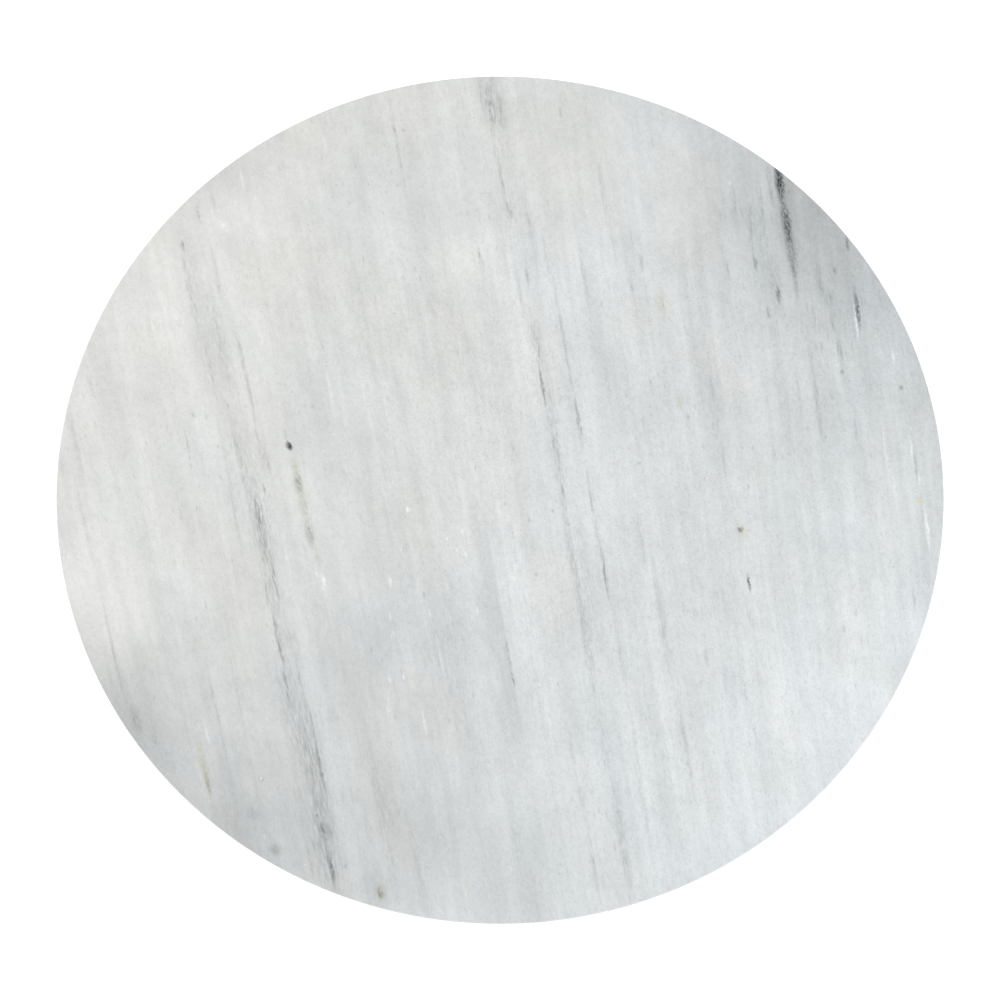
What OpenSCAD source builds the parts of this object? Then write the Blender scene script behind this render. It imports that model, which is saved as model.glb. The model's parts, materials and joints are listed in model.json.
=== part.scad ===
// Round stone lazy susan: a marble slab that turns on a slim ball bearing, over a small marble base
// on rubber feet. Millimetres, Z up. The origin is on the spin axis at the level of the table.
//
// From the table up: rubber feet, marble base, gasket, inner ring, outer ring, gasket, marble slab.
// The inner ring stands on the base. The outer ring hangs from the slab and turns with it. Steel balls
// in a nylon cage run in a V groove between the two rings, so the bearing holds itself together.

/* [Slab] */
// Diameter of the turning slab
top_d = 406; // [320:1:520]
// Thickness of the turning slab
top_t = 15; // [12:0.5:25]
// Radius of the slab's eased edges
top_arris = 1.2; // [0.5:0.1:3]
// Stone left above the slab's blind insert holes
top_cover = 7; // [4:0.5:8]

/* [Base] */
// How far the base reaches outside the ball circle
base_lip = 4; // [0:0.5:5]
// Thickness of the base
base_t = 12; // [10:0.5:20]
// Radius of the base's eased edges
base_arris = 1.5; // [0.5:0.1:3]
// Stone left above the base's blind insert holes
base_cover = 4; // [2:0.5:6]
// Stone between a base screw's washer and the base's upper face
base_web = 7.2; // [4:0.1:9]

/* [Bearing] */
// Diameter of the circle through the ball centres
race_d = 206; // [160:1:260]
// Diameter of a ball
ball_d = 5; // [4:0.1:6]
// Arc length from one ball to the next
ball_pitch = 13.5; // [9:0.5:30]
// Clearance between a ball and each face of its V groove
race_play = 0.03; // [0.01:0.01:0.05]
// Clearance between a ball and the flat bottom of its groove
race_relief = 0.3; // [0.2:0.1:0.5]
// Metal above and below the ball in the thinner direction
race_wall = 2; // [1.5:0.1:4]
// Radial gap between the two rings
ring_gap = 2; // [1.6:0.1:2.4]
// Height by which the outer ring stands above the inner ring
ring_step = 1; // [0.5:0.1:1.5]
// Radial width of the inner ring
inner_ring_w = 20; // [16:1:30]
// Radial width of the outer ring
outer_ring_w = 22; // [18:1:30]
// Chamfer on the rings' edges
ring_chamfer = 0.8; // [0.2:0.1:1.2]
// Radial thickness of the ball cage
cage_t = 1.2; // [0.8:0.1:1.4]
// Cage left above and below a ball pocket
cage_rail = 0.7; // [0.4:0.1:1]
// Radial clearance between a ball and its cage pocket
cage_play = 0.15; // [0.05:0.05:0.3]
// Clearance between a ball and the loading hole
loading_play = 0.25; // [0.1:0.05:0.4]
// Clearance round the loading plug
plug_play = 0.03; // [0.01:0.01:0.1]
// Depth of the plug's outer end below the ring's rim
plug_sink = 0.5; // [0:0.1:1]
// Width and depth of the plug's driver slot
plug_slot = 1; // [0.5:0.1:1.4]

/* [Gaskets] */
// Thickness of the gaskets between metal and stone
gasket_t = 1; // [0.5:0.1:2]
// How far a gasket's edges lie inside its ring's edges
gasket_inset = 1.5; // [0.5:0.1:3]

/* [Screws] */
// Number of screws in each circle, and of feet: a foot stands midway between two base screws
screw_count = 6; // [3:1:8]
// Thread diameter of every screw
screw_d = 4; // [3:0.5:5]
// Chamfer on a screw's tip
screw_tip = 0.5; // [0.2:0.1:1]
// Head diameter of every screw
head_d = 7.6; // [6:0.1:9.5]
// Height of a button head
head_h = 2.2; // [1.5:0.1:2.8]
// Width across the flats of the hexagonal socket
socket_af = 2.5; // [1.5:0.1:3]
// Depth of the socket
socket_depth = 1.3; // [0.8:0.1:1.5]
// Radial clearance round a screw in its hole
screw_play = 0.25; // [0.1:0.05:0.5]
// Radial clearance round a head in its bore
head_play = 1; // [0.5:0.1:1.5]
// Depth of a countersunk head below the ring's face
head_sink = 0.2; // [0:0.1:0.5]
// Distance from a screw's tip to the end of its hole
tip_gap = 2; // [1:0.5:3]
// Diameter of a washer
washer_d = 9; // [8:0.1:10]
// Thickness of a washer
washer_t = 0.8; // [0.5:0.1:1]

/* [Inserts] */
// Wall of a threaded insert
insert_wall = 1.3; // [1:0.1:2]
// Depth of the glue grooves round an insert
insert_groove = 0.4; // [0.2:0.1:0.6]

/* [Feet] */
// Height of a foot
foot_h = 7; // [6.5:0.5:12]
// Diameter of a foot where it meets the base
foot_d = 22; // [18:0.5:26]
// Diameter of a foot where it meets the table
foot_tip_d = 19; // [16:0.5:26]
// Rubber between a foot's washer and the base
foot_web = 3.2; // [2:0.1:4]
// Distance from a foot's edge to the base's edge
foot_inset = 4; // [2:0.5:10]
// Radius round the edge of a foot's tread
foot_round = 1; // [0.3:0.1:1.5]

/* [Hidden] */
$fn = 96;
EPS = 0.01;

// Levels
base_z = foot_h;
inner_z = base_z + base_t + gasket_t;
outer_z = inner_z + ring_step;
ring_h = ball_d + 2 * race_wall;
ball_z = inner_z + (ring_h + ring_step) / 2;
top_z = outer_z + ring_h + gasket_t;

// Radii
race_r = race_d / 2;
inner_r1 = race_r - ring_gap / 2;
inner_r0 = inner_r1 - inner_ring_w;
outer_r0 = race_r + ring_gap / 2;
outer_r1 = outer_r0 + outer_ring_w;
base_r = race_r + base_lip;
base_screw_r = (inner_r0 + inner_r1) / 2;
top_screw_r = (outer_r0 + outer_r1) / 2;
foot_r = base_r - foot_inset - foot_d / 2;
hole_r = screw_d / 2 + screw_play;
bore_r = washer_d / 2 + head_play / 2;
insert_r = screw_d / 2 + insert_wall;
csk_h = (head_d - screw_d) / 2;

// Lengths
top_insert_l = top_t - top_cover;
foot_insert_l = base_t - base_cover;
top_screw_l = ring_h - head_sink + gasket_t + top_insert_l - tip_gap;
base_screw_l = washer_t + base_web + gasket_t + ring_h - tip_gap;
foot_screw_l = washer_t + foot_web + foot_insert_l - tip_gap;

// Bearing
ball_count = round(PI * race_d / ball_pitch);
groove_reach = (ball_d / 2 + race_play) * sqrt(2);
groove_floor = ball_d / 2 + race_relief;
loading_r = ball_d / 2 + loading_play;
pocket_r = ball_d / 2 + cage_play;
cage_h = 2 * (pocket_r + cage_rail);

// Angle from a screw to the foot beside it, and to the loading hole
half_step = 180 / screw_count;

// ---- Placing ----

// Copies of the children round the spin axis, the first at angle start
module circle_of(count, radius, start = 0)
    for (i = [0 : count - 1])
        rotate(start + i * 360 / count)
            translate([radius, 0, 0])
                children();

module on_top_screws(z = 0) circle_of(screw_count, top_screw_r) translate([0, 0, z]) children();
module on_base_screws(z = 0) circle_of(screw_count, base_screw_r) translate([0, 0, z]) children();
module on_feet(z = 0) circle_of(screw_count, foot_r, half_step) translate([0, 0, z]) children();

// ---- Sections, drawn with the spin axis on x = 0 ----

// Half section of a disc with rounded edges
module disc_section(radius, height, arris) {
    square([radius - arris, height]);
    translate([0, arris]) square([radius, height - 2 * arris]);
    for (z = [arris, height - arris])
        translate([radius - arris, z]) circle(arris);
}

// Section of a ring with a chamfer on all four edges
module ring_section(r0, r1, height, c) {
    polygon([[r0 + c, 0], [r1 - c, 0], [r1, c], [r1, height - c],
             [r1 - c, height], [r0 + c, height], [r0, height - c], [r0, c]]);
}

// Section of the space the balls need: two 45 degree V grooves with flat bottoms
module race_section() {
    side = groove_reach - groove_floor;
    translate([race_r, ball_z])
        polygon([[0, -groove_reach], [groove_floor, -side], [groove_floor, side],
                 [0, groove_reach], [-groove_floor, side], [-groove_floor, -side]]);
}

module flat_ring(r0, r1, height)
    rotate_extrude()
        translate([r0, 0]) square([r1 - r0, height]);

// ---- Fasteners, standing on their heads at z = 0 with the thread going up ----

module socket(depth)
    translate([0, 0, -EPS])
        cylinder(d = socket_af / cos(30), h = depth + EPS, $fn = 6);

module screw_shank(length) {
    cylinder(d = screw_d, h = length - screw_tip);
    translate([0, 0, length - screw_tip])
        cylinder(d1 = screw_d, d2 = screw_d - 2 * screw_tip, h = screw_tip);
}

// Countersunk screw; its face is at z = 0
module flat_screw(length)
    difference() {
        union() {
            cylinder(d1 = head_d, d2 = screw_d, h = csk_h);
            screw_shank(length);
        }
        socket(socket_depth);
    }

// Button head screw; the underside of its head is at z = 0
module button_screw(length) {
    dome_r = (pow(head_d / 2, 2) + pow(head_h, 2)) / (2 * head_h);
    screw_shank(length);
    difference() {
        rotate_extrude()
            intersection() {
                translate([0, dome_r - head_h]) circle(dome_r);
                translate([0, -head_h]) square([head_d / 2, head_h]);
            }
        translate([0, 0, -head_h]) socket(socket_depth);
    }
}

module washer() flat_ring(screw_d / 2 + screw_play, washer_d / 2, washer_t);

// Threaded insert with two grooves for the glue
module insert(length)
    rotate_extrude()
        difference() {
            translate([screw_d / 2, 0]) square([insert_wall, length]);
            for (share = [1 / 3, 2 / 3])
                translate([insert_r, share * length])
                    rotate(45) square(insert_groove * sqrt(2), center = true);
        }

module insert_hole(length) translate([0, 0, -EPS]) cylinder(r = insert_r, h = length + EPS);

// ---- Turning parts ----

module marble_top()
    color([0.86, 0.87, 0.87])
        difference() {
            translate([0, 0, top_z])
                rotate_extrude() disc_section(top_d / 2, top_t, top_arris);
            on_top_screws(top_z) insert_hole(top_insert_l);
        }

module top_inserts()
    color([0.78, 0.63, 0.32])
        on_top_screws(top_z) insert(top_insert_l);

module top_gasket()
    color([0.16, 0.16, 0.17])
        translate([0, 0, top_z - gasket_t])
            difference() {
                flat_ring(outer_r0 + gasket_inset, outer_r1 - gasket_inset, gasket_t);
                on_top_screws(-EPS) cylinder(r = hole_r, h = gasket_t + 2 * EPS);
            }

module outer_ring_blank()
    rotate_extrude()
        difference() {
            translate([0, outer_z]) ring_section(outer_r0, outer_r1, ring_h, ring_chamfer);
            race_section();
        }

// Space of the radial hole through which the balls are loaded
module loading_bore(radius, reach)
    rotate(half_step)
        translate([race_r, 0, ball_z])
            rotate([0, 90, 0]) cylinder(r = radius, h = reach - race_r);

module outer_ring()
    color([0.80, 0.81, 0.83])
        difference() {
            outer_ring_blank();
            on_top_screws(outer_z) {
                translate([0, 0, -EPS]) cylinder(r = hole_r, h = ring_h + 2 * EPS);
                translate([0, 0, -EPS]) cylinder(r = head_d / 2 + screw_play, h = head_sink + EPS);
                translate([0, 0, head_sink])
                    cylinder(r1 = head_d / 2 + screw_play, r2 = hole_r, h = csk_h);
            }
            loading_bore(loading_r, outer_r1 + EPS);
        }

module loading_plug()
    color([0.68, 0.69, 0.71])
        difference() {
            intersection() {
                outer_ring_blank();
                loading_bore(loading_r - plug_play, outer_r1 - plug_sink);
            }
            rotate(half_step)
                translate([outer_r1 - plug_sink, 0, ball_z])
                    cube([2 * plug_slot, 2 * loading_r, plug_slot], center = true);
        }

module top_screws()
    color([0.62, 0.63, 0.65])
        on_top_screws(outer_z + head_sink) flat_screw(top_screw_l);

// ---- Rolling parts ----

module ball_cage()
    color([0.90, 0.89, 0.85])
        difference() {
            translate([0, 0, ball_z - cage_h / 2])
                flat_ring(race_r - cage_t / 2, race_r + cage_t / 2, cage_h);
            circle_of(ball_count, race_r)
                translate([0, 0, ball_z])
                    rotate([0, 90, 0]) cylinder(r = pocket_r, h = ring_gap, center = true);
        }

module bearing_balls()
    color([0.75, 0.76, 0.78])
        circle_of(ball_count, race_r)
            translate([0, 0, ball_z]) sphere(d = ball_d);

// ---- Standing parts ----

module inner_ring()
    color([0.80, 0.81, 0.83])
        difference() {
            rotate_extrude()
                difference() {
                    translate([0, inner_z]) ring_section(inner_r0, inner_r1, ring_h, ring_chamfer);
                    race_section();
                }
            on_base_screws(inner_z - EPS) cylinder(d = screw_d, h = ring_h + 2 * EPS);
        }

module base_gasket()
    color([0.16, 0.16, 0.17])
        translate([0, 0, base_z + base_t])
            difference() {
                flat_ring(inner_r0 + gasket_inset, inner_r1 - gasket_inset, gasket_t);
                on_base_screws(-EPS) cylinder(r = hole_r, h = gasket_t + 2 * EPS);
            }

module marble_base()
    color([0.86, 0.87, 0.87])
        difference() {
            translate([0, 0, base_z])
                rotate_extrude() disc_section(base_r, base_t, base_arris);
            on_base_screws(base_z - EPS) {
                cylinder(r = hole_r, h = base_t + 2 * EPS);
                cylinder(r = bore_r, h = base_t - base_web + EPS);
            }
            on_feet(base_z) insert_hole(foot_insert_l);
        }

module base_screws()
    color([0.62, 0.63, 0.65])
        on_base_screws(base_z + base_t - base_web - washer_t) button_screw(base_screw_l);

module base_washers()
    color([0.70, 0.71, 0.73])
        on_base_screws(base_z + base_t - base_web - washer_t) washer();

module foot_inserts()
    color([0.78, 0.63, 0.32])
        on_feet(base_z) insert(foot_insert_l);

module foot_screws()
    color([0.62, 0.63, 0.65])
        on_feet(foot_h - foot_web - washer_t) button_screw(foot_screw_l);

module foot_washers()
    color([0.70, 0.71, 0.73])
        on_feet(foot_h - foot_web - washer_t) washer();

// Section of a foot: a cone with a rounded tread, its screw hole and the recess for the head
module foot_section()
    difference() {
        union() {
            polygon([[0, foot_round], [foot_tip_d / 2, foot_round], [foot_d / 2, foot_h], [0, foot_h]]);
            square([foot_tip_d / 2 - foot_round, foot_round + EPS]);
            translate([foot_tip_d / 2 - foot_round, foot_round]) circle(foot_round);
        }
        translate([-EPS, -EPS]) square([hole_r + EPS, foot_h + 2 * EPS]);
        translate([-EPS, -EPS]) square([bore_r + EPS, foot_h - foot_web + EPS]);
    }

module foot(number)
    color([0.10, 0.10, 0.11])
        rotate(half_step + (number - 1) * 360 / screw_count)
            translate([foot_r, 0, 0])
                rotate_extrude() foot_section();

// ---- The nodes ----

marble_top();
top_inserts();
top_gasket();
outer_ring();
loading_plug();
top_screws();
ball_cage();
bearing_balls();
inner_ring();
base_gasket();
marble_base();
base_screws();
base_washers();
foot_inserts();
foot_screws();
foot_washers();
for (i = [1 : screw_count])
    foot(i);
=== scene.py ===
# %% [markdown]
# # A marble lazy susan
# A round slab of white marble turns on a slim ball bearing over a smaller marble base on six rubber
# feet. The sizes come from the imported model, so nothing here is fitted by eye: every piece is made
# at the place that the model gives it, and rides on the body that it belongs to.

import json
from math import atan2, cos, degrees, pi, radians, sin

import bpy
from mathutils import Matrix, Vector

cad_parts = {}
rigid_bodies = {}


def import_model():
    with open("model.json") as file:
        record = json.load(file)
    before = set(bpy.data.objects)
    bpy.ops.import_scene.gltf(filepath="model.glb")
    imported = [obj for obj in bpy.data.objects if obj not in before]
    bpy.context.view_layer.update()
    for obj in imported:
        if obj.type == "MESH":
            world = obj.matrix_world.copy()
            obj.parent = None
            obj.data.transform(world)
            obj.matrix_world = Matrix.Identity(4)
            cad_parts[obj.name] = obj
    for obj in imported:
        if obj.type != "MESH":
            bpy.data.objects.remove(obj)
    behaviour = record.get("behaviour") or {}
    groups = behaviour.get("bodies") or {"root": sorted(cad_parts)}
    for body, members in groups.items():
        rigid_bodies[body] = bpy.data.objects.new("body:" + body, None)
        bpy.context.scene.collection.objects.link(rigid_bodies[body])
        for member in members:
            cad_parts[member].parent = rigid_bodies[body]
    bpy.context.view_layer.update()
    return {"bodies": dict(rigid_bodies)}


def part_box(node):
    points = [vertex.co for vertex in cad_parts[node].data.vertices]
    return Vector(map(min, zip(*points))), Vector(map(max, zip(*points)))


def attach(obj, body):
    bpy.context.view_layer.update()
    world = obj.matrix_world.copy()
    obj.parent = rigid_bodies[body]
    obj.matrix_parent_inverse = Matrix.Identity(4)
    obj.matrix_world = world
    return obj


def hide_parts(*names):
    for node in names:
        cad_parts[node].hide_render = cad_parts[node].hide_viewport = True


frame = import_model()
print("bodies:", ", ".join(sorted(frame["bodies"])))

# %% [markdown]
# ## Sizes
# The sizes could be typed in again, but then a change to the model would leave this script behind.
# So each node's box gives its radius and its levels, and only small sizes that a box can't show,
# such as the radius of the stone's eased edge, are written here. Everything is in metres.

# %% Read the sizes
MM = 0.001


def radius_of(node):
    low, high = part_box(node)
    return (high[0] - low[0]) / 2


def levels_of(node):
    low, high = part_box(node)
    return low[2], high[2]


def middle_of(node):
    low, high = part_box(node)
    return (low + high) / 2


SLAB_R = radius_of("marble_top")
SLAB_LOW, SLAB_TOP = levels_of("marble_top")
BASE_R = radius_of("marble_base")
BASE_LOW, BASE_TOP = levels_of("marble_base")
print(f"slab {SLAB_R * 2:.3f} m across, top at {SLAB_TOP:.3f} m")

# %% [markdown]
# ## Writing materials as sums
# A stone is many faint patterns added together. Joining dozens of Math nodes by hand hides the idea,
# so a small class stands for the value on a wire. Adding or multiplying two wires makes the Math
# node, and one method makes every other kind of node.

# %% The wire
class Wire:
    """The value that leaves a shader node."""

    def __init__(self, recipe, socket):
        self.recipe, self.socket = recipe, socket

    def math(self, operation, first, second=None):
        values = [first] if second is None else [first, second]
        return self.recipe.node("Math", {"operation": operation}, *values)

    def __add__(self, other):
        return self.math("ADD", self, other)

    def __radd__(self, other):
        return self.math("ADD", other, self)

    def __sub__(self, other):
        return self.math("SUBTRACT", self, other)

    def __rsub__(self, other):
        return self.math("SUBTRACT", other, self)

    def __mul__(self, other):
        return self.math("MULTIPLY", self, other)

    def __rmul__(self, other):
        return self.math("MULTIPLY", other, self)

    def __truediv__(self, other):
        return self.math("DIVIDE", self, other)

    def __rtruediv__(self, other):
        return self.math("DIVIDE", other, self)

    def __pow__(self, other):
        return self.math("POWER", self, other)

    def __abs__(self):
        return self.math("ABSOLUTE", self)


# %% The recipe
OBJECT_COORDINATES = 3  # an output of the Texture Coordinate node
BACKFACING = 6  # an output of the Geometry node


class Recipe:
    """A material that is being written."""

    def __init__(self, name, **constants):
        self.material = bpy.data.materials.new(name)
        self.material.use_nodes = True
        self.tree = self.material.node_tree
        self.shader = self.tree.nodes["Principled BSDF"]
        for socket, value in constants.items():
            self.shader.inputs[socket.replace("_", " ")].default_value = value

    def node(self, kind, settings=None, *values, output=0, **named):
        made = self.tree.nodes.new("ShaderNode" + kind)
        for key, value in (settings or {}).items():
            setattr(made, key, value)
        open_sockets = [s for s in made.inputs if s.enabled]
        pairs = list(zip(open_sockets, values))
        for key, value in named.items():
            wanted = key.replace("_", " ")
            pairs.append((next(s for s in open_sockets if s.name == wanted), value))
        for socket, value in pairs:
            self.feed(socket, value)
        outputs = [s for s in made.outputs if s.enabled]
        return Wire(self, outputs[output])

    def feed(self, socket, value):
        if isinstance(value, Wire):
            self.tree.links.new(value.socket, socket)
        elif socket.type == "RGBA" and len(value) == 3:
            socket.default_value = (*value, 1)
        else:
            socket.default_value = value

    def finish(self, **inputs):
        for name, value in inputs.items():
            self.feed(self.shader.inputs[name.replace("_", " ")], value)
        return self.material

    # The few patterns that every material here uses

    def place(self):
        """x, y and z on the piece, in millimetres."""
        point = self.node("TexCoord", output=OBJECT_COORDINATES)
        scaled = self.node("VectorMath", {"operation": "SCALE"}, point, Scale=1 / MM)
        parts = self.node("SeparateXYZ", None, scaled)
        sockets = parts.socket.node.outputs
        return scaled, *(Wire(self, sockets[i]) for i in range(3))

    def join(self, x, y, z=0.0):
        return self.node("CombineXYZ", None, x, y, z)

    def noise(self, vector, scale=1.0, detail=0.0, roughness=0.5):
        return self.node("TexNoise", None, Vector=vector, Scale=scale, Detail=detail,
                         Roughness=roughness)

    def fade(self, value, start, end, low=0.0, high=1.0):
        """Goes smoothly from low to high while value goes from start to end."""
        return self.node("MapRange", {"interpolation_type": "SMOOTHSTEP", "clamp": False},
                         value, start, end, low, high)

    def blend(self, amount, first, second):
        return self.node("Mix", {"data_type": "RGBA"}, amount, A=first, B=second)

    def bump(self, height, distance, strength=1.0):
        return self.node("Bump", None, Strength=strength, Distance=distance, Height=height)


# %% [markdown]
# ## The marble
# This marble was laid down in beds, so its bands and veins run one way across the slab, a little off
# the fore-and-aft line, and they spread slightly. It could be a picture of stone wrapped round the
# slab, but a picture has seams at the edge and blurs close up. So it is a recipe in millimetres:
# noise makes the streaks and grains, the veins that matter are placed one by one, and everything
# goes on through the stone to its wall and its underside. Brightness is written as steps on a 0 to
# 255 screen scale, because faint patterns are easy to judge that way.

# %% Marble: broad areas
# Soft areas of the slab: (x, y, radius in mm, steps of brightness)
AREAS = [
    (182, 135, 120, -44), (175, -150, 150, 16), (-170, -122, 62, -38), (-110, -135, 60, -7),
    (-70, -180, 80, -16), (-170, 70, 90, 5), (-125, 90, 40, 3), (-70, 20, 55, -4), (-60, -95, 55, -8),
    (-20, -175, 50, -10), (105, 190, 60, -8), (-160, -45, 50, 3), (10, 85, 70, 5), (60, 100, 50, 4),
    (150, 20, 60, -5), (-125, 120, 45, 3), (-118, -172, 55, -24), (-45, -105, 95, -8),
    (180, 25, 45, -6), (-130, 165, 38, -11), (-25, 180, 40, 4), (182, 115, 38, 5), (15, -188, 40, -5),
    (-50, -25, 45, -5), (-25, 105, 45, 4), (25, -10, 75, 4), (150, 70, 30, -4), (-52, -190, 14, -8),
]
print("areas:", len(AREAS))

# %% Marble: threads
# Soft threads and bands: (x, y, half width, half length in mm, steps)
THREADS = [
    # the vein on the left, from the back to the front
    (-148, 88, 2.0, 32, -14), (-135.5, 95, 1.4, 24, -9), (-131, 58, 4, 34, -9),
    (-119, 43, 1.4, 34, -17), (-135.5, 45, 1.2, 24, -10), (-121, 5, 1.1, 20, -10),
    (-127, 5, 1.0, 24, -7), (-119.5, -28, 1.6, 20, -9), (-108, -32, 7.5, 36, -10),
    (-108.7, -30, 2.2, 22, -14), (-120.2, 4, 1.0, 10, -15), (-112.6, 13.6, 0.9, 8, -13),
    (-109, 2, 4.0, 10, -8), (-101.3, -54, 1.3, 13, -20), (-104, -63, 1.4, 10, -15),
    (-98.4, -81, 1.6, 15, -22), (-91, -84, 4.0, 16, -8), (-100, -66, 6.0, 30, -5),
    (-96, -90, 1.3, 9, -16), (-93.5, -103, 1.2, 11, -17), (-86.5, -106, 1.2, 17, -16),
    (-81.5, -121, 1.2, 13, -15), (-90, -116, 7.0, 38, -8), (-79, -142, 7.0, 38, -12),
    (-73, -174, 10, 32, -11), (-80, -178, 1.0, 9, -15), (-84, -135, 9, 85, -6),
    (-112, -15, 9, 75, -6),
    # the calm stone round it
    (-171, -86, 1.1, 28, -14), (-122.5, -117, 1.0, 30, -10), (-114.5, -107, 1.0, 22, -10),
    (-188, -30, 1.5, 26, -9), (-195, 8, 1.6, 22, -11), (-144, 9, 1.0, 11, -13),
    (-145, -24, 0.9, 9, -8), (-51, 165, 1.3, 36, -12),
    # the vein in the middle, from the back to the front
    (-4, 192, 8.0, 28, -14), (4, 135, 6.0, 55, -6), (-4.6, 184, 2.4, 15, -15),
    (-8.5, 190, 1.3, 14, -9), (0, 185, 1.2, 18, -10), (-2.6, 163, 1.8, 13, -5),
    (1.0, 143, 1.4, 17, -14), (4.6, 128, 2.0, 13, -11), (13, 125, 1.3, 25, -9),
    (2.5, 104, 1.3, 17, -8), (9.5, 84, 1.4, 17, -12), (16.5, 60, 4.0, 17, -15),
    (18.2, 56, 1.2, 9, -15), (24.5, 13, 3.4, 17, -9), (27, -5, 1.8, 28, -8), (33, -50, 2.4, 32, -13),
    (39, -88, 2.9, 32, -14), (45, -125, 3, 28, -9), (52, -170, 3, 34, -13), (15, 120, 1.6, 38, -7),
    (22, 104, 1.8, 16, -9), (28, 72, 1.1, 26, -10), (31.5, 50, 1.2, 28, -14), (36, 20, 1.3, 17, -28),
    (42, -22, 1.4, 26, -20), (47, -52, 1.1, 18, -24), (53, -88, 1.5, 28, -9), (58, -125, 1.3, 24, -7),
    # the right half
    (50, 140, 1.5, 18, -14), (54, 115, 1.0, 19, -9), (40, 94, 1.4, 20, -11), (64, -35, 1.9, 20, -12),
    (72, -75, 2.6, 38, -12), (80, -128, 1.5, 26, -12), (105.5, -92, 3, 26, -8),
    (112, -130, 2.4, 30, -8), (31, -130, 1.2, 26, -8), (39, -176, 1.8, 24, -12),
    (61, -152, 1.7, 30, -9), (147, 30, 1.6, 32, -11), (139, 35, 1.1, 20, -7), (160, 50, 2.2, 17, -10),
    (157, 78, 1.8, 15, -12), (152, 92, 1.8, 13, -12),
    # the dark vein at the back right, and the threads beside it
    (122, 125, 5, 40, -7), (128, 100, 3, 35, -8), (114, 130, 1.1, 15, -11), (121, 116, 1.3, 15, -11),
    (126.5, 132, 1.8, 25, -11), (131.5, 142, 1.5, 17, -12), (148.5, 72, 1.0, 7, -16),
    (156.7, 70, 1.0, 6, -16), (159.7, 54, 1.3, 8, -14), (151, 56, 1.0, 6, -12), (154, 83, 3.5, 7, -9),
    # broad faint bands
    (90, 70, 1.5, 40, -6), (-50, -160, 5, 45, -9), (-35, -180, 3, 30, -10), (-52, -25, 1.4, 16, -8),
    (-62, 60, 6, 45, -4), (-20, -20, 3, 45, -4), (25, 12, 5, 60, -8), (38, -62, 5.5, 55, -8),
    (12, -75, 9, 80, 6), (-20, -95, 15, 75, -5), (-140, 70, 7, 60, -6), (99, 40, 7, 90, -4),
]
print("threads:", len(THREADS))

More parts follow.
